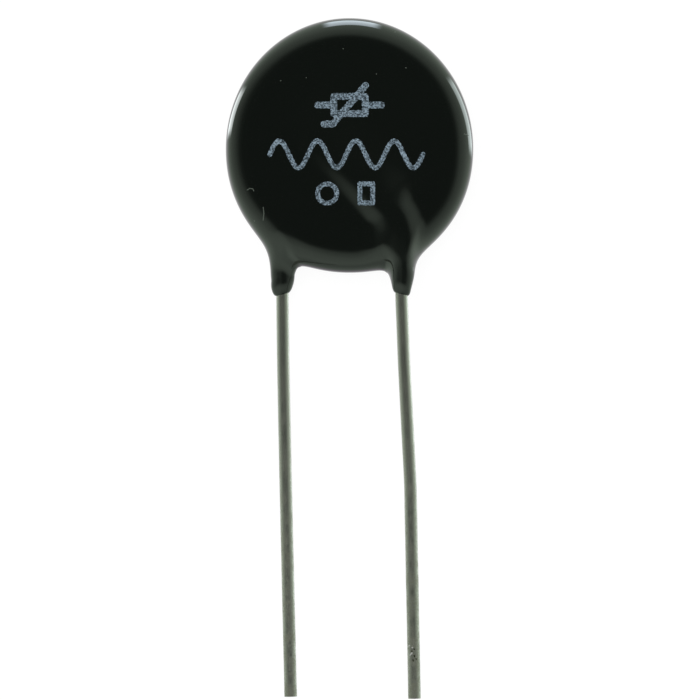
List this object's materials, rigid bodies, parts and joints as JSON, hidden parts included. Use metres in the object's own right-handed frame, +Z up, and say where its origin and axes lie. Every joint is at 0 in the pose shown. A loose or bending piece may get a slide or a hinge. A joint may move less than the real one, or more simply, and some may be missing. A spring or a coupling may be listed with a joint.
{
  "type": "metal oxide varistor",
  "caption": "Disc varistor dipped in glossy black epoxy, with tinned radial wires and a plain printed face, lying on its back.",
  "frame": {"origin": "middle of the footprint, at the lowest point of the coat, with the part on its back", "axes": "+Z up, out of the printed face; +Y from the wires' tips towards the disc; +X to the right as the print is seen"},
  "size_m": [0.0156, 0.0428, 0.0049],
  "materials": {
    "epoxy": "gloss",
    "zinc_oxide": "matte",
    "silver_layer": "matte",
    "solder": "satin",
    "tinned_wire": "satin",
    "ink": "matte"
  },
  "bodies": {
    "root": {"epoxy_coat": "epoxy", "ceramic_disc": "zinc_oxide", "front_electrode": "silver_layer", "rear_electrode": "silver_layer", "front_solder": "solder", "rear_solder": "solder", "front_lead": "tinned_wire", "rear_lead": "tinned_wire", "printed_mark": "ink"}
  },
  "joints": []
}
